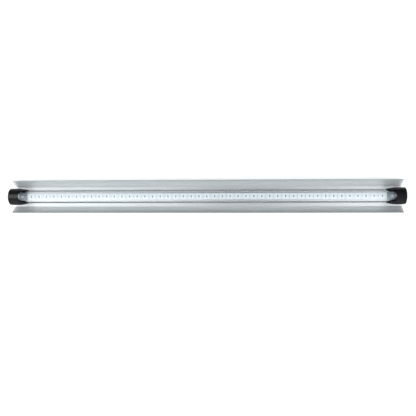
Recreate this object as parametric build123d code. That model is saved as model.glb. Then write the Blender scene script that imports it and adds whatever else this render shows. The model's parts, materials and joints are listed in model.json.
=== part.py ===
from build123d import *
import os
from math import cos, radians, sin, tan

# LED light bar for a truck or trailer: a sealed clear tube with a strip of LEDs in it, held by two end
# caps in front of a bright aluminium reflector channel. Millimetres.
# +X runs along the bar, +Z is the way the light faces, and the origin is the middle of the flat back.

# ---- Driving sizes ----
overall_length = 844.0
reflector_length = 840.0
reflector_width = 71.5
floor_width = 42.0
wing_angle = 48.0
floor_thickness = 2.0
wing_thickness = 1.5
tube_od = 28.0
tube_wall = 1.8
cap_od = 36.0
led_pitch = 1000.0 / 60.0
led_count = 46

# ---- Fits ----
turning_gap = 0.08
seal_gap = 0.03
push_gap = 0.10
thread_gap = 0.02
shoulder_gap = 0.5
cap_lift = 0.5

# ---- Places that follow from the driving sizes ----
half_length = overall_length / 2
half_reflector = reflector_length / 2
tube_r = tube_od / 2
tube_bore_r = tube_r - tube_wall
cap_r = cap_od / 2
axis_z = floor_thickness + cap_lift + cap_r

# Caps, as lengths measured in from the outer end of the bar
cap_body_length = 22.0
cap_cheek_length = 17.0
cap_cheek_r = tube_r + 1.0
cap_scoop_half_width = 13.0
cap_crown = 0.8
cap_corner_r = 2.0
cap_end_wall = 4.0
cap_cavity_r = 11.0
cap_length = cap_body_length + cap_cheek_length
half_tube = half_length - 13.0
seal_x = half_length - 15.8
seal_section = 1.9
seal_groove_width = 2.3
foot_width = 22.0
foot_outer_x = half_reflector - 1.0
foot_length = 13.0
inlet_r = 5.0

# Cap screws, driven from behind into the feet
cap_screw_x = half_length - 9.0
cap_screw_y = 6.0
cap_screw_r = 1.75
cap_screw_head_r = 3.4
cap_screw_head_height = 1.75
cap_screw_recess = 0.05
cap_screw_top = 9.0
screw_clearance_r = 2.0

# Nuts pressed into the floor, in one row, for the bolts that hold the bar
nut_xs = (-360.0, -120.0, 120.0, 360.0)
nut_bore_r = 2.0
nut_shank_r = 2.7
nut_body_r = 3.9
nut_top = 4.4

# Strip of LEDs and its rail, with heights measured from the tube's axis
board_width = 12.0
board_thickness = 1.6
board_top = axis_z - 0.8
tape_thickness = 0.2
carrier_width = 15.0
carrier_plate = 1.5
carrier_leg = 1.2
carrier_depth = 6.5
half_carrier = half_length - 19.7
board_bottom = board_top - board_thickness
carrier_top = board_bottom - tape_thickness
carrier_under = carrier_top - carrier_plate
led_length = 5.7
led_width = 3.0
led_height = 0.9
phosphor_length = 4.5
phosphor_width = 2.1
phosphor_depth = 0.35
pad_length = 2.0
pad_width = 1.2
pad_height = 0.12
pad_y = 3.6
resistor_length = 1.6
resistor_width = 0.8
resistor_height = 0.45

# End plugs that carry the rail in the tube, and the clamps over the strip's ends
plug_r = tube_bore_r - push_gap
plug_inner_x = half_carrier + 0.2
plug_thickness = 3.0
tongue_length = 16.0
tongue_width = 12.0
tongue_depth = 4.0
clamp_inner_x = 384.5
clamp_thickness = 1.2
clamp_lip = 1.1
clamp_screw_x = 395.0
clamp_screw_r = 1.25
clamp_head_r = 2.8
clamp_head_height = 1.3

# Supply and driver, under the rail near the left end
lead_r = 0.8
lead_y = 2.5
lead_hole_r = 0.95
pin_x = -22 * led_pitch
driver_x = pin_x - 8.0
driver_length = 62.0
driver_width = 11.6
driver_pad_thickness = 0.5
driver_board_thickness = 1.0
driver_top = carrier_under - driver_pad_thickness
driver_under = driver_top - driver_board_thickness
lead_z = driver_under - lead_r
terminal_length = 8.5
terminal_width = 11.4
terminal_height = 8.0
terminal_below_leads = 2.3
terminal_screw_r = 1.5
pin_r = 0.4
pin_hole_r = 1.3


# ---- Helpers ----
def block(x0, x1, y0, y1, z0, z1):
    """A box between two corners."""
    middle = Pos((x0 + x1) / 2, (y0 + y1) / 2, (z0 + z1) / 2)
    return middle * Box(x1 - x0, y1 - y0, z1 - z0)


def rod_x(radius, x0, x1, y=0.0, z=axis_z):
    """A rod along the bar, on the tube's axis unless another place is given."""
    return Pos((x0 + x1) / 2, y, z) * Rot(0, 90, 0) * Cylinder(radius, x1 - x0)


def rod_z(radius, z0, z1, x=0.0, y=0.0):
    """An upright rod."""
    return Pos(x, y, (z0 + z1) / 2) * Cylinder(radius, z1 - z0)


def cross_recess(x, y, z, across, width, depth):
    """The cross that a driver turns a screw by, cut equally above and below z."""
    bar = Box(across, width, 2 * depth)
    return Pos(x, y, z) * (bar + Rot(0, 0, 90) * bar)


def right_hand(left_shape):
    """The other end's piece: the same one turned end for end, as a mirror image."""
    return left_shape.mirror(Plane.YZ)


def write(name, *shapes):
    """One file for a node: a single solid, or a group of separate solids that are all alike."""
    solids = [solid for shape in shapes for solid in shape.solids()]
    whole = solids[0] if len(solids) == 1 else Compound(children=solids)
    whole.label = name
    export_step(whole, f"parts/{name}.step")


# ---- Reflector ----
def reflector_channel():
    """An extruded trough: a flat floor, two sloping wings and a small rounded bead along each wing."""
    bead_r = 1.1
    inner_bend_r = 2.0
    outer_bend_r = 3.4
    along_y = cos(radians(wing_angle))
    along_z = sin(radians(wing_angle))
    bead_y = reflector_width / 2 - bead_r
    wing_run = bead_y - wing_thickness * along_z / 2 - floor_width / 2
    wing_rise = wing_run * tan(radians(wing_angle))
    inner_bend = (floor_width / 2, floor_thickness)
    inner_edge = (inner_bend[0] + wing_run, inner_bend[1] + wing_rise)
    outer_edge = (inner_edge[0] + wing_thickness * along_z, inner_edge[1] - wing_thickness * along_y)
    outer_bend = (outer_edge[0] - outer_edge[1] * along_y / along_z, 0.0)
    outline = Polyline(
        (0.0, floor_thickness), inner_bend, inner_edge, outer_edge, outer_bend, (0.0, 0.0), close=True
    )
    half = make_face(outline)
    bend_in = half.vertices().sort_by_distance(Vector(*inner_bend))[0]
    half = fillet(bend_in, inner_bend_r)
    bend_out = half.vertices().sort_by_distance(Vector(*outer_bend))[0]
    half = fillet(bend_out, outer_bend_r)
    bead_z = (inner_edge[1] + outer_edge[1]) / 2
    half += Pos(bead_y, bead_z) * Circle(bead_r)
    section = half + half.mirror(Plane.YZ)
    channel = extrude(Plane.YZ * section, amount=half_reflector, both=True)
    for x in nut_xs:
        channel -= rod_z(nut_shank_r, 0, floor_thickness, x)
    for x, y in cap_screw_places():
        channel -= rod_z(screw_clearance_r, 0, floor_thickness, x, y)
        channel -= flat_head(x, y, cap_screw_head_r + thread_gap)
        channel -= rod_z(cap_screw_head_r + thread_gap, 0, cap_screw_recess, x, y)
    return channel


def cap_screw_places():
    return [(x, y) for x in (-cap_screw_x, cap_screw_x) for y in (-cap_screw_y, cap_screw_y)]


def flat_head(x, y, wide_r):
    """The cone of a countersunk head, with its wide end just inside the bar's back."""
    middle = Pos(x, y, cap_screw_recess + cap_screw_head_height / 2)
    return middle * Cone(wide_r, cap_screw_r, cap_screw_head_height)


def cap_screws():
    """Countersunk self-tapping screws with a cross recess, up through the floor into the cap feet."""
    screws = []
    shank_top = cap_screw_top - cap_screw_r
    blunt_r = 0.3
    for x, y in cap_screw_places():
        shank = rod_z(cap_screw_r, cap_screw_recess + cap_screw_head_height, shank_top, x, y)
        point = Pos(x, y, shank_top + cap_screw_r / 2) * Cone(cap_screw_r, blunt_r, cap_screw_r)
        screw = flat_head(x, y, cap_screw_head_r) + shank + point
        screws.append(screw - cross_recess(x, y, cap_screw_recess, across=3.4, width=0.7, depth=1.0))
    return screws


def clinch_nuts():
    """Round nuts pressed into the floor from the front, flush with the back."""
    nuts = []
    for x in nut_xs:
        nut = rod_z(nut_shank_r, 0, floor_thickness, x)
        nut += rod_z(nut_body_r, floor_thickness, nut_top, x)
        nut = chamfer(nut.edges().sort_by(Axis.Z)[-1], 0.4)
        nuts.append(nut - rod_z(nut_bore_r, 0, nut_top, x))
    return nuts


# ---- End caps ----
def end_cap_left():
    """A moulded cap: domed end, foot on the floor, a bore that the tube turns in, and a tapered mouth.

    The mouth is scooped out above and below, which leaves a cheek along each side of the tube.
    """
    outer_x = -half_length
    cheek_x = outer_x + cap_body_length
    mouth_x = outer_x + cap_length
    crown = ThreePointArc((outer_x + cap_crown, -cap_r), (outer_x, 0), (outer_x + cap_crown, cap_r))
    crown_half = ThreePointArc((outer_x, 0), crown @ 0.75, (outer_x + cap_crown, cap_r))
    body = Line((outer_x + cap_crown, cap_r), (cheek_x, cap_r))
    taper = Line((cheek_x, cap_r), (mouth_x, cap_cheek_r))
    mouth = Polyline((mouth_x, cap_cheek_r), (mouth_x, 0), (outer_x, 0))
    profile = make_face([crown_half, body, taper, mouth])
    corner = profile.vertices().sort_by_distance(Vector(outer_x + cap_crown, cap_r))[0]
    profile = fillet(corner, cap_corner_r)
    shell = Pos(0, 0, axis_z) * revolve(Plane.XZ * profile, Axis.X)
    foot = block(
        -foot_outer_x, -foot_outer_x + foot_length, -foot_width / 2, foot_width / 2, floor_thickness, axis_z
    )
    foot = fillet(foot.edges().filter_by(Axis.Z), 2.5)
    cap = shell + foot
    shoulder_x = -half_tube - shoulder_gap
    cap -= rod_x(tube_r + turning_gap, shoulder_x, mouth_x)
    scoop = extrude(Ellipse(cap_cheek_length, cap_scoop_half_width), amount=2 * cap_od)
    cap -= Pos(mouth_x, 0, 0) * scoop
    cap -= rod_x(cap_cavity_r, outer_x + cap_end_wall, shoulder_x)
    cap -= rod_x(inlet_r, outer_x - 1, outer_x + cap_end_wall)
    cap -= rod_x(
        tube_r + seal_gap + seal_section, -seal_x - seal_groove_width / 2, -seal_x + seal_groove_width / 2
    )
    for y in (-cap_screw_y, cap_screw_y):
        cap -= rod_z(cap_screw_r + thread_gap, floor_thickness, cap_screw_top, -cap_screw_x, y)
    return cap


def tube_seal_left():
    """The ring in the cap's groove that grips the tube, so that the tube turns stiffly and stays dry."""
    ring = Torus(tube_r + seal_gap + seal_section / 2, seal_section / 2)
    return Pos(-seal_x, 0, axis_z) * Rot(0, 90, 0) * ring


def inlet_plug(bore_r):
    """A rubber plug with a flange inside and outside the cap's end wall, bored for a cable or blank."""
    lip = 1.4
    end_x = -half_length
    body = rod_x(inlet_r - thread_gap, end_x, end_x + cap_end_wall)
    body += rod_x(inlet_r + 1.2, end_x + cap_end_wall, end_x + cap_end_wall + lip)
    if bore_r > 0:
        body -= rod_x(bore_r, end_x, end_x + cap_end_wall + lip)
    return body


# ---- Lamp: everything that turns with the tube ----
def clear_tube():
    return rod_x(tube_r, -half_tube, half_tube) - rod_x(tube_bore_r, -half_tube, half_tube)


def board_carrier():
    """The aluminium rail under the board: a plate with two legs that stiffen it and shed its heat."""
    half_width = carrier_width / 2
    low = carrier_top - carrier_depth
    half_inside = half_width - carrier_leg
    rail = block(-half_carrier, half_carrier, -half_width, half_width, low, carrier_top)
    rail -= block(-half_carrier, half_carrier, -half_inside, half_inside, low, carrier_under)
    for x in (-clamp_screw_x, clamp_screw_x):
        rail -= rod_z(clamp_screw_r + push_gap, carrier_under, carrier_top, x)
    for x, y in pin_places():
        rail -= rod_z(pin_hole_r, carrier_under, carrier_top, x, y)
    return rail


def strip_layer(width, z0, z1, hole_r):
    """A layer of the strip, as long as the rail, with holes for the clamp screws and the power pins."""
    layer = block(-half_carrier, half_carrier, -width / 2, width / 2, z0, z1)
    for x in (-clamp_screw_x, clamp_screw_x):
        layer -= rod_z(clamp_screw_r + push_gap, z0, z1, x)
    for x, y in pin_places():
        layer -= rod_z(hole_r, z0, z1, x, y)
    return layer


def pin_places():
    return [(pin_x, y) for y in (-pad_y, pad_y)]


def led_xs():
    return [(i - (led_count - 1) / 2) * led_pitch for i in range(led_count)]


def led_packages():
    """Packages lying across the strip, each with a shallow window for its phosphor."""
    window = block(-phosphor_width / 2, phosphor_width / 2, -phosphor_length / 2, phosphor_length / 2, 0, 1)
    body = block(-led_width / 2, led_width / 2, -led_length / 2, led_length / 2, 0, led_height)
    body -= Pos(0, 0, led_height - phosphor_depth) * window
    return [Pos(x, 0, board_top) * body for x in led_xs()]


def led_phosphors():
    size = (phosphor_width, phosphor_length, phosphor_depth)
    middle = board_top + led_height - phosphor_depth / 2
    return [Pos(x, 0, middle) * Box(*size) for x in led_xs()]


def gap_xs():
    """The middles of the gaps between LEDs."""
    return [(i - led_count / 2) * led_pitch for i in range(1, led_count)]


def solder_pads():
    """Two pads in each gap, but for the gap where the power pins come up."""
    size = (pad_width, pad_length, pad_height)
    places = [(x, y) for x in gap_xs() if abs(x - pin_x) > 1 for y in (-pad_y, pad_y)]
    return [Pos(x, y, board_top + pad_height / 2) * Box(*size) for x, y in places]


def board_resistors():
    """A small chip resistor lying across the strip in each gap."""
    size = (resistor_width, resistor_length, resistor_height)
    return [Pos(x, 0, board_top + resistor_height / 2) * Box(*size) for x in gap_xs()]


def end_plug_left():
    """A disc that fills the tube's end, with a tongue under the rail and two ways for the leads."""
    disc = rod_x(plug_r, -plug_inner_x - plug_thickness, -plug_inner_x)
    tongue = block(
        -plug_inner_x,
        -plug_inner_x + tongue_length,
        -tongue_width / 2,
        tongue_width / 2,
        carrier_under - tongue_depth,
        carrier_under,
    )
    plug = disc + tongue
    for y in (-lead_y, lead_y):
        plug -= rod_x(lead_hole_r, -plug_inner_x - plug_thickness, -plug_inner_x + tongue_length, y, lead_z)
    plug -= rod_z(clamp_screw_r + thread_gap, carrier_under - tongue_depth, carrier_under, -clamp_screw_x)
    return plug


def board_clamp_left():
    """A grey clamp over the strip's end, with a lip down each side of the rail."""
    outer = carrier_width / 2 + push_gap + clamp_lip
    inner = outer - clamp_lip
    top = board_top + clamp_thickness
    clamp = block(-half_carrier, -clamp_inner_x, -outer, outer, carrier_under, top)
    clamp = fillet(clamp.edges().filter_by(Axis.Z).sort_by(Axis.X)[-2:], 3.0)
    clamp -= block(-half_carrier, -clamp_inner_x, -inner, inner, carrier_under, board_top)
    clamp -= rod_z(clamp_screw_r + push_gap, board_top, top, -clamp_screw_x)
    return clamp


def clamp_screws():
    """Pan-head screws down through clamp, board and rail into the plugs' tongues."""
    seat = board_top + clamp_thickness
    screws = []
    for x in (-clamp_screw_x, clamp_screw_x):
        head = rod_z(clamp_head_r, seat, seat + clamp_head_height, x)
        head = fillet(head.edges().sort_by(Axis.Z)[-1], 0.8)
        screw = head + rod_z(clamp_screw_r, carrier_under - tongue_depth + 0.5, seat, x)
        screws.append(screw - cross_recess(x, 0, seat + clamp_head_height, across=3.0, width=0.6, depth=0.6))
    return screws


def terminal_block():
    """The two-way connector on the left plug that the supply cable is screwed into."""
    inner_x = -plug_inner_x - plug_thickness
    low = lead_z - terminal_below_leads
    top = low + terminal_height
    body = block(inner_x - terminal_length, inner_x, -terminal_width / 2, terminal_width / 2, low, top)
    for y in terminal_ys():
        body -= rod_z(terminal_screw_r + push_gap, lead_z, top, terminal_screw_x(), y)
        body -= rod_x(1.3, inner_x - terminal_length, inner_x - terminal_length / 2, y, lead_z - 0.6)
    return body


def terminal_ys():
    return (-terminal_width / 4, terminal_width / 4)


def terminal_screw_x():
    return -plug_inner_x - plug_thickness - terminal_length / 2


def terminal_screws():
    top = lead_z + terminal_height - terminal_below_leads - 1.0
    screws = []
    for y in terminal_ys():
        screw = rod_z(terminal_screw_r, lead_z, top, terminal_screw_x(), y)
        screws.append(screw - Pos(terminal_screw_x(), y, top) * Box(3.4, 0.6, 1.0))
    return screws


def supply_lead(y):
    return rod_x(lead_r, -plug_inner_x - plug_thickness, driver_x + 5.0, y, lead_z)


def driver_box(x0, length, width, height):
    """A part on the underside of the driver board."""
    start = driver_x + x0
    return block(start, start + length, -width / 2, width / 2, driver_under - height, driver_under)


def driver_layer(z0, z1, hole_r):
    """The driver board or its pad, with holes for the power pins."""
    layer = block(driver_x, driver_x + driver_length, -driver_width / 2, driver_width / 2, z0, z1)
    for x, y in pin_places():
        layer -= rod_z(hole_r, z0, z1, x, y)
    return layer


def driver_inductor():
    core = driver_box(30.0, 7.0, 7.0, 3.8)
    return fillet(core.edges().filter_by(Axis.Z), 1.6)


def driver_capacitor():
    return rod_x(2.0, driver_x + 14.0, driver_x + 24.0, 0.0, driver_under - 2.0)


def power_pins():
    """Pins that carry the current from the driver board up through the rail to the LED board."""
    low = driver_under - 0.4
    top = board_top + 0.5
    return [rod_z(pin_r, low, top, x, y) for x, y in pin_places()]


# ---- Write every piece ----
os.makedirs("parts", exist_ok=True)

left_cap = end_cap_left()
left_seal = tube_seal_left()
left_plug = end_plug_left()
left_clamp = board_clamp_left()

write("reflector_channel", reflector_channel())
write("clinch_nuts", *clinch_nuts())
write("end_cap_left", left_cap)
write("end_cap_right", right_hand(left_cap))
write("cap_screws", *cap_screws())
write("tube_seal_left", left_seal)
write("tube_seal_right", right_hand(left_seal))
write("cable_grommet", inlet_plug(2.6))
write("blanking_plug", right_hand(inlet_plug(0.0)))

write("clear_tube", clear_tube())
write("board_carrier", board_carrier())
write("thermal_tape", strip_layer(board_width, carrier_top, board_bottom, pin_hole_r))
write("led_board", strip_layer(board_width, board_bottom, board_top, pin_r + thread_gap))
write("led_packages", *led_packages())
write("led_phosphors", *led_phosphors())
write("solder_pads", *solder_pads())
write("board_resistors", *board_resistors())
write("end_plug_left", left_plug)
write("end_plug_right", right_hand(left_plug))
write("board_clamp_left", left_clamp)
write("board_clamp_right", right_hand(left_clamp))
write("clamp_screws", *clamp_screws())

write("terminal_block", terminal_block())
write("terminal_screws", *terminal_screws())
write("supply_lead_red", supply_lead(lead_y))
write("supply_lead_black", supply_lead(-lead_y))
write("driver_pad", driver_layer(driver_top, carrier_under, pin_hole_r))
write("driver_board", driver_layer(driver_under, driver_top, pin_r + thread_gap))
write("driver_inductor", driver_inductor())
write("driver_capacitor", driver_capacitor())
write("driver_regulator", driver_box(42.0, 6.5, 5.0, 1.6))
write("driver_diode", driver_box(52.0, 5.0, 2.6, 1.8))
write("power_pins", *power_pins())
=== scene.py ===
import json

import bmesh
import bpy
from mathutils import Matrix, Vector


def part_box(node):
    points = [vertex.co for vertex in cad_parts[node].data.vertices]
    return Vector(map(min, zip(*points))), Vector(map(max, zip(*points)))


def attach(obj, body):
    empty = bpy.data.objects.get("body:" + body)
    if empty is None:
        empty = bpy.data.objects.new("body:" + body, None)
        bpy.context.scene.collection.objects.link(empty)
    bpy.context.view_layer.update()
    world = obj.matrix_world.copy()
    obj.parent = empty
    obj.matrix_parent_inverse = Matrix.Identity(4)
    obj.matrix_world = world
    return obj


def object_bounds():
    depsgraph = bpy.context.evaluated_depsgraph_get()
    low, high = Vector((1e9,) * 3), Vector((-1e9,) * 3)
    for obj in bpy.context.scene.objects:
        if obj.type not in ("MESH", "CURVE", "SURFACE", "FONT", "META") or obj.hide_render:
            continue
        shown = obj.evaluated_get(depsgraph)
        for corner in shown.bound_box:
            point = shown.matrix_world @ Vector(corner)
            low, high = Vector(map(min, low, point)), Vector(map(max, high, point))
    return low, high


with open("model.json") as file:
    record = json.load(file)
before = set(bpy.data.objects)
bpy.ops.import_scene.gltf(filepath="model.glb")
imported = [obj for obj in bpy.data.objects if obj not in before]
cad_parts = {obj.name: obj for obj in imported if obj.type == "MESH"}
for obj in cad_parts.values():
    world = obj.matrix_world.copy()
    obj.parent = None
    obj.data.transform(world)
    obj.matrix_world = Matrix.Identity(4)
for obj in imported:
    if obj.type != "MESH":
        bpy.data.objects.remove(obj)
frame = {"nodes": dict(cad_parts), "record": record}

# Looks for an LED light bar lying on its back: +X along the bar, +Z the way the light faces, metres.
cad_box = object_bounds()
MM = 0.001

tube_low, tube_high = (Vector(corner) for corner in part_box("clear_tube"))
tube_axis_z = (tube_low.z + tube_high.z) / 2
board_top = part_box("led_board")[1][2]
package_low, package_high = (Vector(corner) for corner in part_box("led_packages"))
phosphor_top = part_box("led_phosphors")[1][2]
reflector_half_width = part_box("reflector_channel")[1][1]

LEDS_PER_METRE = 60
LED_PITCH = 1.0 / LEDS_PER_METRE
LED_WIDTH = 3.0 * MM
LED_COUNT = round((package_high.x - package_low.x - LED_WIDTH) / LED_PITCH) + 1

NOISE_LOW, NOISE_HIGH = 0.3, 0.7  # a noise node's values nearly all lie between these


# ---------------------------------------------------------------- node helpers
class Shader:
    """A material with one Principled shader, and short ways to add what drives it."""

    def __init__(self, name, **sockets):
        self.mat = bpy.data.materials.new(name)
        self.mat.use_nodes = True
        self.nodes = self.mat.node_tree.nodes
        self.links = self.mat.node_tree.links
        self.surface = next(node for node in self.nodes if node.type == "BSDF_PRINCIPLED")
        self.output = next(node for node in self.nodes if node.type == "OUTPUT_MATERIAL")
        for socket, value in sockets.items():
            self.surface.inputs[socket.replace("_", " ")].default_value = value
        self.place = self.nodes.new("ShaderNodeTexCoord").outputs["Object"]

    def link(self, source, target):
        self.links.new(source, target)

    def drive(self, socket, value):
        """Links a value to a socket of the Principled shader."""
        self.link(value, self.surface.inputs[socket])

    def stretched(self, scale):
        """Object coordinates scaled by (x, y, z), so that noise runs long where the scale is small."""
        mapping = self.nodes.new("ShaderNodeMapping")
        mapping.inputs["Scale"].default_value = scale
        self.link(self.place, mapping.inputs["Vector"])
        return mapping.outputs["Vector"]

    def noise(self, scale, detail=3.0, stretch=None):
        node = self.nodes.new("ShaderNodeTexNoise")
        node.inputs["Scale"].default_value = scale
        node.inputs["Detail"].default_value = detail
        self.link(self.stretched(stretch) if stretch else self.place, node.inputs["Vector"])
        return node.outputs["Fac"]

    def remap(self, value, low, high, to_low=0.0, to_high=1.0):
        node = self.nodes.new("ShaderNodeMapRange")
        self.link(value, node.inputs["Value"])
        node.inputs["From Min"].default_value = low
        node.inputs["From Max"].default_value = high
        node.inputs["To Min"].default_value = to_low
        node.inputs["To Max"].default_value = to_high
        return node.outputs["Result"]

    def from_noise(self, value, to_low, to_high):
        return self.remap(value, NOISE_LOW, NOISE_HIGH, to_low, to_high)

    def math(self, operation, a, b=None):
        node = self.nodes.new("ShaderNodeMath")
        node.operation = operation
        for socket, value in zip(node.inputs, (a, b)):
            if value is None:
                continue
            if isinstance(value, (int, float)):
                socket.default_value = value
            else:
                self.link(value, socket)
        return node.outputs["Value"]

    def axis(self, letter):
        node = self.nodes.new("ShaderNodeSeparateXYZ")
        self.link(self.place, node.inputs["Vector"])
        return node.outputs[letter]

    def mix(self, factor, first, second):
        node = self.nodes.new("ShaderNodeMix")
        node.data_type = "RGBA"
        self.link(factor, node.inputs["Factor"])
        for name, value in (("A", first), ("B", second)):
            socket = next(s for s in node.inputs if s.name == name and s.type == "RGBA")
            if isinstance(value, tuple):
                socket.default_value = (*value, 1.0)
            else:
                self.link(value, socket)
        return next(s for s in node.outputs if s.type == "RGBA")

    def bump(self, height, distance_mm, strength):
        node = self.nodes.new("ShaderNodeBump")
        node.inputs["Distance"].default_value = distance_mm * MM
        node.inputs["Strength"].default_value = strength
        self.link(height, node.inputs["Height"])
        self.drive("Normal", node.outputs["Normal"])


# ---------------------------------------------------------------- materials
def grained(name, dark, light, rough, grain=1200.0, detail=3.0, bump_mm=0.02, bump_strength=0.5, **sockets):
    """A moulded, plated or printed surface. One fine grain drives its colour, its gloss and its bump."""
    s = Shader(name, **sockets)
    speckle = s.noise(grain, detail=detail)
    s.drive("Base Color", s.mix(speckle, dark, light))
    s.drive("Roughness", s.from_noise(speckle, *rough))
    s.bump(speckle, bump_mm, bump_strength)
    return s.mat


def reflector_aluminium():
    """Satin aluminium with fine draw lines: a bright floor, and wings that are rougher and less metallic,
    with painted shade that darkens their colour towards the beads.
    """
    wing_starts, wing_full = 0.57 * reflector_half_width, 0.63 * reflector_half_width
    painted_shade_starts = 0.62 * reflector_half_width
    floor_metallic, wing_metallic = 0.72, 0.55
    wing_extra_roughness = 0.10
    # Painted shade: the colour the wings darken to at their beads.
    bead_shade_color = (0.42, 0.445, 0.45)
    s = Shader("reflector_aluminium_satin", Anisotropic=0.92)
    across_lines = s.nodes.new("ShaderNodeTangent")
    across_lines.direction_type = "RADIAL"
    across_lines.axis = "X"
    s.drive("Tangent", across_lines.outputs["Tangent"])
    lines = s.noise(1.0, detail=4.0, stretch=(2.5, 2400.0, 2400.0))
    cloud = s.noise(9.0, detail=2.0)
    tone = s.math("ADD", s.math("MULTIPLY", lines, 0.6), s.math("MULTIPLY", cloud, 0.4))
    bright = s.mix(s.remap(tone, 0.35, 0.65), (0.89, 0.905, 0.91), (0.93, 0.94, 0.945))
    from_middle = s.math("ABSOLUTE", s.axis("Y"))
    on_wing = s.remap(from_middle, wing_starts, wing_full)
    # Painted shade: the colour darkens from here out to the beads.
    painted_shade = s.remap(from_middle, painted_shade_starts, reflector_half_width)
    s.drive("Base Color", s.mix(painted_shade, bright, bead_shade_color))
    s.drive("Metallic", s.remap(on_wing, 0.0, 1.0, floor_metallic, wing_metallic))
    satin = s.from_noise(lines, 0.36, 0.44)
    s.drive("Roughness", s.math("ADD", satin, s.math("MULTIPLY", on_wing, wing_extra_roughness)))
    s.bump(lines, 0.006, 0.3)
    return s.mat


def rail_aluminium():
    """Mill-finish aluminium with coarser draw lines along the rail."""
    s = Shader("rail_aluminium_mill", Metallic=1.0)
    lines = s.noise(1.0, detail=3.0, stretch=(10.0, 1400.0, 1400.0))
    s.drive("Base Color", s.mix(lines, (0.66, 0.67, 0.69), (0.82, 0.83, 0.85)))
    s.drive("Roughness", s.from_noise(lines, 0.30, 0.46))
    s.bump(lines, 0.02, 0.6)
    return s.mat


def cap_plastic():
    """Black moulded plastic: a fine spark texture, with broad faint flow marks that vary the sheen."""
    s = Shader("cap_plastic_black", Specular_IOR_Level=0.09)
    spark = s.noise(2600.0, detail=3.0)
    flow = s.noise(1.0, detail=2.0, stretch=(60.0, 160.0, 160.0))
    s.drive("Base Color", s.mix(flow, (0.003, 0.003, 0.0034), (0.0065, 0.0065, 0.007)))
    s.drive("Roughness", s.from_noise(flow, 0.11, 0.17))
    s.bump(spark, 0.03, 0.35)
    return s.mat


def clear_plastic():
    """Clear drawn tube, with painted shade darkening its colour where it is seen edge on, for the dark lines
    along its sides. Lamps and diffuse light pass straight through it.
    """
    clear, painted_edge_shade = (0.985, 0.992, 0.996), (0.045, 0.05, 0.062)
    edge_starts, edge_full = 0.46, 0.60
    s = Shader("clear_plastic_tube", IOR=1.49, Transmission_Weight=1.0)
    facing = s.nodes.new("ShaderNodeLayerWeight")
    facing.inputs["Blend"].default_value = 0.5
    # Painted shade: the colour turns near black where the tube is seen edge on.
    s.drive("Base Color", s.mix(s.remap(facing.outputs["Facing"], edge_starts, edge_full), clear, painted_edge_shade))
    lines = s.noise(1.0, detail=2.0, stretch=(3.0, 500.0, 500.0))
    s.drive("Roughness", s.from_noise(lines, 0.01, 0.035))
    s.bump(lines, 0.001, 0.2)
    path = s.nodes.new("ShaderNodeLightPath")
    passes = s.math("MAXIMUM", path.outputs["Is Shadow Ray"], path.outputs["Is Diffuse Ray"])
    open_air = s.nodes.new("ShaderNodeBsdfTransparent")
    open_air.inputs["Color"].default_value = (0.95, 0.96, 0.965, 1.0)
    mix = s.nodes.new("ShaderNodeMixShader")
    s.link(passes, mix.inputs["Fac"])
    s.link(s.surface.outputs["BSDF"], mix.inputs[1])
    s.link(open_air.outputs["BSDF"], mix.inputs[2])
    s.link(mix.outputs["Shader"], s.output.inputs["Surface"])
    return s.mat


def board_white():
    """White solder mask over copper: two edge tracks, a link between LEDs, and a patch round each LED."""
    track_middle, track_half_width, link_half_width = 4.9 * MM, 0.6 * MM, 1.3 * MM
    ring_inside, ring_outside = 4.0 * MM, 5.2 * MM
    s = Shader("board_white_mask")
    y = s.math("ABSOLUTE", s.axis("Y"))
    from_track = s.math("ABSOLUTE", s.math("SUBTRACT", y, track_middle))
    track = s.math("LESS_THAN", from_track, track_half_width)
    raised = s.math("MAXIMUM", track, s.math("LESS_THAN", y, link_half_width))
    in_pitch = s.math("FRACT", s.math("DIVIDE", s.axis("X"), LED_PITCH))
    from_led = s.math("MULTIPLY", s.math("ABSOLUTE", s.math("SUBTRACT", in_pitch, 0.5)), LED_PITCH)
    ring = s.remap(from_led, ring_inside, ring_outside, 1.0, 0.0)
    mottle = s.noise(420.0, detail=3.0)
    plain = s.mix(mottle, (0.74, 0.775, 0.79), (0.78, 0.81, 0.82))
    tracked = s.mix(raised, plain, (0.70, 0.74, 0.77))
    s.drive("Base Color", s.mix(ring, tracked, (0.81, 0.84, 0.855)))
    s.drive("Roughness", s.from_noise(mottle, 0.28, 0.42))
    s.bump(s.math("ADD", raised, s.math("MULTIPLY", mottle, 0.15)), 0.035, 0.8)
    return s.mat


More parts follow.
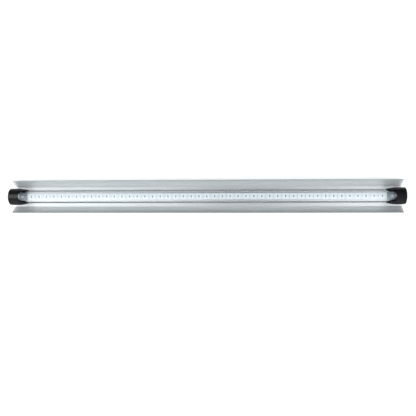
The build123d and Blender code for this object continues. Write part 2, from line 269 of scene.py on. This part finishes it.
looks = {
    "reflector_aluminium": reflector_aluminium(),
    "rail_aluminium": rail_aluminium(),
    "cap_plastic": cap_plastic(),
    "clear_plastic": clear_plastic(),
    "board_white": board_white(),
    "plated_steel": grained(
        "plated_steel_zinc", (0.55, 0.56, 0.57), (0.74, 0.74, 0.73), rough=(0.25, 0.45),
        grain=700.0, detail=4.0, bump_mm=0.03, Metallic=1.0,
    ),
    "tinned_metal": grained(
        "tinned_metal_solder", (0.58, 0.60, 0.60), (0.80, 0.81, 0.80), rough=(0.22, 0.40),
        grain=1500.0, bump_mm=0.03, Metallic=1.0,
    ),
    "seal_rubber": grained(
        "seal_rubber_black", (0.012, 0.012, 0.012), (0.035, 0.035, 0.035), rough=(0.60, 0.80),
        grain=1800.0, bump_mm=0.04, bump_strength=0.6,
    ),
    "tape_grey": grained(
        "tape_grey_thermal", (0.30, 0.31, 0.33), (0.42, 0.43, 0.45), rough=(0.65, 0.85),
        grain=1300.0, bump_mm=0.03,
    ),
    "package_white": grained(
        "package_white_resin", (0.64, 0.68, 0.70), (0.72, 0.76, 0.78), rough=(0.32, 0.46),
        grain=1600.0, bump_mm=0.01,
    ),
    # Clear-set gel with little phosphor, unlit: a cool grey with a trace of green.
    "phosphor": grained(
        "phosphor_gel", (0.20, 0.24, 0.25), (0.28, 0.32, 0.33), rough=(0.18, 0.32),
        grain=2400.0, detail=4.0, bump_mm=0.01, bump_strength=0.6, Coat_Weight=0.4, Coat_Roughness=0.08,
    ),
    "plug_white": grained(
        "plug_white_moulded", (0.82, 0.84, 0.86), (0.90, 0.91, 0.92), rough=(0.36, 0.52), grain=900.0
    ),
    "clamp_grey": grained(
        "clamp_grey_moulded", (0.13, 0.16, 0.20), (0.19, 0.225, 0.27), rough=(0.32, 0.48), grain=1100.0
    ),
    "component_black": grained(
        "component_black_resin", (0.018, 0.018, 0.020), (0.045, 0.045, 0.048), rough=(0.40, 0.60),
        grain=1900.0, bump_strength=0.6,
    ),
    "terminal_green": grained(
        "terminal_green_moulded", (0.02, 0.19, 0.08), (0.03, 0.26, 0.11), rough=(0.34, 0.48)
    ),
    "driver_green": grained(
        "driver_green_mask", (0.008, 0.09, 0.035), (0.015, 0.14, 0.05), rough=(0.24, 0.36)
    ),
    "lead_red": grained(
        "lead_red_sleeve", (0.36, 0.015, 0.012), (0.48, 0.025, 0.02), rough=(0.36, 0.50)
    ),
    "lead_black": grained(
        "lead_black_sleeve", (0.012, 0.012, 0.012), (0.03, 0.03, 0.03), rough=(0.36, 0.50)
    ),
}

slot_of = {part["node"]: part["material_slot"] for part in frame["record"]["subparts"]}
for node, piece in frame["nodes"].items():
    for slot in piece.material_slots:
        slot.material = looks[slot_of[node]]


# ---------------------------------------------------------------- pieces made here
def new_piece(name, mesh_maker, look, body):
    mesh = bpy.data.meshes.new(name)
    shape = bmesh.new()
    mesh_maker(shape)
    bmesh.ops.recalc_face_normals(shape, faces=shape.faces)
    shape.to_mesh(mesh)
    shape.free()
    for face in mesh.polygons:
        face.use_smooth = True
    mesh.materials.append(looks[look])
    piece = bpy.data.objects.new(name, mesh)
    bpy.context.collection.objects.link(piece)
    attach(piece, body)


def led_x(index):
    return (index - (LED_COUNT - 1) / 2) * LED_PITCH


def bridge(shape, first, second):
    """Faces between two rows of vertices that run the same way."""
    for a, b, c, d in zip(first, second, second[1:], first[1:]):
        shape.faces.new((a, b, c, d))


def phosphor_domes(shape):
    """A shallow swell of gel over each LED's window, highest over the chip, with a flat closed bottom."""
    across, along = 6, 10
    half_x, half_y = 0.98 * MM, 2.15 * MM
    bottom = phosphor_top + 0.01 * MM
    swell = 0.14 * MM
    for index in range(LED_COUNT):
        rows = []
        for i in range(across + 1):
            u = 2 * i / across - 1
            row = []
            for j in range(along + 1):
                v = 2 * j / along - 1
                height = bottom + swell * (1 - u * u) * (1 - v ** 4)
                row.append(shape.verts.new((led_x(index) + u * half_x, v * half_y, height)))
            rows.append(row)
        for first, second in zip(rows, rows[1:]):
            bridge(shape, first, second)
        far_side = [row[-1] for row in rows[1:-1]]
        near_side = [row[0] for row in rows[-2:0:-1]]
        border = rows[0] + far_side + rows[-1][::-1] + near_side
        shape.faces.new(border[::-1])


def solder_fillets(shape):
    """A sloping bead of solder at each end of each LED, from its end face down to the board."""
    end_y = package_high.y
    half_x = 1.0 * MM
    reach = 0.75 * MM
    height = 0.5 * MM
    overlap = 0.02 * MM
    corner_share = 0.55  # a bead's corners reach out and up this much of what its middle does
    steps = 5
    for index in range(LED_COUNT):
        for side in (-1, 1):
            sections = []
            for x in (-half_x, -0.5 * half_x, 0.5 * half_x, half_x):
                share = 1.0 if abs(x) < half_x else corner_share
                curve = [shape.verts.new((led_x(index) + x, side * (end_y - overlap), board_top))]
                for k in range(steps + 1):
                    t = k / steps
                    y = end_y + reach * share * t
                    z = board_top + height * share * (1 - t) ** 2
                    curve.append(shape.verts.new((led_x(index) + x, side * y, z)))
                sections.append(curve)
            for first, second in zip(sections, sections[1:]):
                bridge(shape, first, second)
                shape.faces.new((first[0], first[-1], second[-1], second[0]))
            shape.faces.new(sections[0])
            shape.faces.new(sections[-1][::-1])


new_piece("phosphor_domes", phosphor_domes, "phosphor", "lamp")
new_piece("solder_fillets", solder_fillets, "tinned_metal", "lamp")


# ---------------------------------------------------------------- floor, light and camera
def floor():
    half = 4.0
    gap = 0.3 * MM
    glow = 0.30
    mesh = bpy.data.meshes.new("floor")
    corners = [(-half, -half, 0), (half, -half, 0), (half, half, 0), (-half, half, 0)]
    mesh.from_pydata(corners, [], [(0, 1, 2, 3)])
    s = Shader("floor_white", Roughness=0.9, Emission_Color=(1.0, 1.0, 1.0, 1.0), Emission_Strength=glow)
    s.drive("Base Color", s.mix(s.noise(3.0), (0.90, 0.90, 0.90), (0.93, 0.93, 0.93)))
    mesh.materials.append(s.mat)
    obj = bpy.data.objects.new("floor", mesh)
    obj.location.z = cad_box[0][2] - gap
    bpy.context.collection.objects.link(obj)


def world_light():
    """Soft light from both ends of the bar with a dim band between them, much dimmer from +Y than from -Y."""
    levels = ((0.0, 0.10), (0.05, 0.24), (0.14, 1.02), (0.24, 1.58), (0.50, 1.46), (1.0, 1.20))
    tint = (0.93, 0.965, 0.99)
    strength_from_minus_y, strength_from_plus_y = 1.78, 0.20
    world = bpy.data.worlds.new("studio")
    bpy.context.scene.world = world
    world.use_nodes = True
    nodes = world.node_tree.nodes
    links = world.node_tree.links
    place = nodes.new("ShaderNodeTexCoord")
    split = nodes.new("ShaderNodeSeparateXYZ")
    from_middle = nodes.new("ShaderNodeMath")
    from_middle.operation = "ABSOLUTE"
    ramp = nodes.new("ShaderNodeValToRGB")
    links.new(place.outputs["Generated"], split.inputs["Vector"])
    links.new(split.outputs["X"], from_middle.inputs[0])
    links.new(from_middle.outputs["Value"], ramp.inputs["Fac"])
    while len(ramp.color_ramp.elements) < len(levels):
        ramp.color_ramp.elements.new(0.5)
    for element, (place_on_ramp, level) in zip(ramp.color_ramp.elements, levels):
        element.position = place_on_ramp
        element.color = (*(level * part for part in tint), 1.0)
    side = nodes.new("ShaderNodeMapRange")
    side.inputs["From Min"].default_value = -1.0
    side.inputs["To Min"].default_value = strength_from_minus_y
    side.inputs["To Max"].default_value = strength_from_plus_y
    links.new(split.outputs["Y"], side.inputs["Value"])
    back = nodes["Background"]
    links.new(ramp.outputs["Color"], back.inputs["Color"])
    links.new(side.outputs["Result"], back.inputs["Strength"])


def softbox(name, place, size, power, aim, lights_only=()):
    """A flat rectangular light. Nodes named in lights_only are the only ones that it lights."""
    light = bpy.data.lights.new(name, "AREA")
    light.shape = "RECTANGLE"
    light.size, light.size_y = size
    light.energy = power
    obj = bpy.data.objects.new(name, light)
    obj.location = place
    obj.rotation_euler = (Vector(aim) - Vector(place)).to_track_quat("-Z", "Y").to_euler()
    bpy.context.collection.objects.link(obj)
    if lights_only:
        lit = bpy.data.collections.new(name + "_lights_only")
        for node in lights_only:
            lit.objects.link(frame["nodes"][node])
        obj.light_linking.receiver_collection = lit


def photo_camera():
    """Above the bar and looking down at it, a little right of and below its middle."""
    sensor = 36.0
    image_width = 416
    focal_in_pixels = 545.0
    spot = Vector((0.0949, -0.0447, 1.1783))
    aim = Vector((0.0109, -0.0249, tube_axis_z))
    data = bpy.data.cameras.new("camera")
    data.sensor_width = sensor
    data.lens = sensor * focal_in_pixels / image_width
    data.clip_start = 0.01
    obj = bpy.data.objects.new("camera", data)
    forward = (aim - spot).normalized()
    right = forward.cross(Vector((0, 1, 0))).normalized()
    up = right.cross(forward)
    turn = Matrix((right, up, -forward)).transposed().to_4x4()
    obj.matrix_world = Matrix.Translation(spot) @ turn
    bpy.context.collection.objects.link(obj)
    bpy.context.scene.camera = obj


floor()
world_light()
# Two lights over the left end: a narrow one that lifts that end, and a wide one for the sheen along its cap.
left_cap = (-0.41, 0.0, 0.0)
softbox("softbox_left", (-1.04, 0.0, 1.45), (0.12, 0.36), 0.5, left_cap)
softbox("sheen_left", (-1.04, 0.13, 1.45), (1.3, 0.7), 20.0, left_cap, lights_only=("end_cap_left",))
photo_camera()
bpy.context.scene.view_settings.view_transform = "Standard"
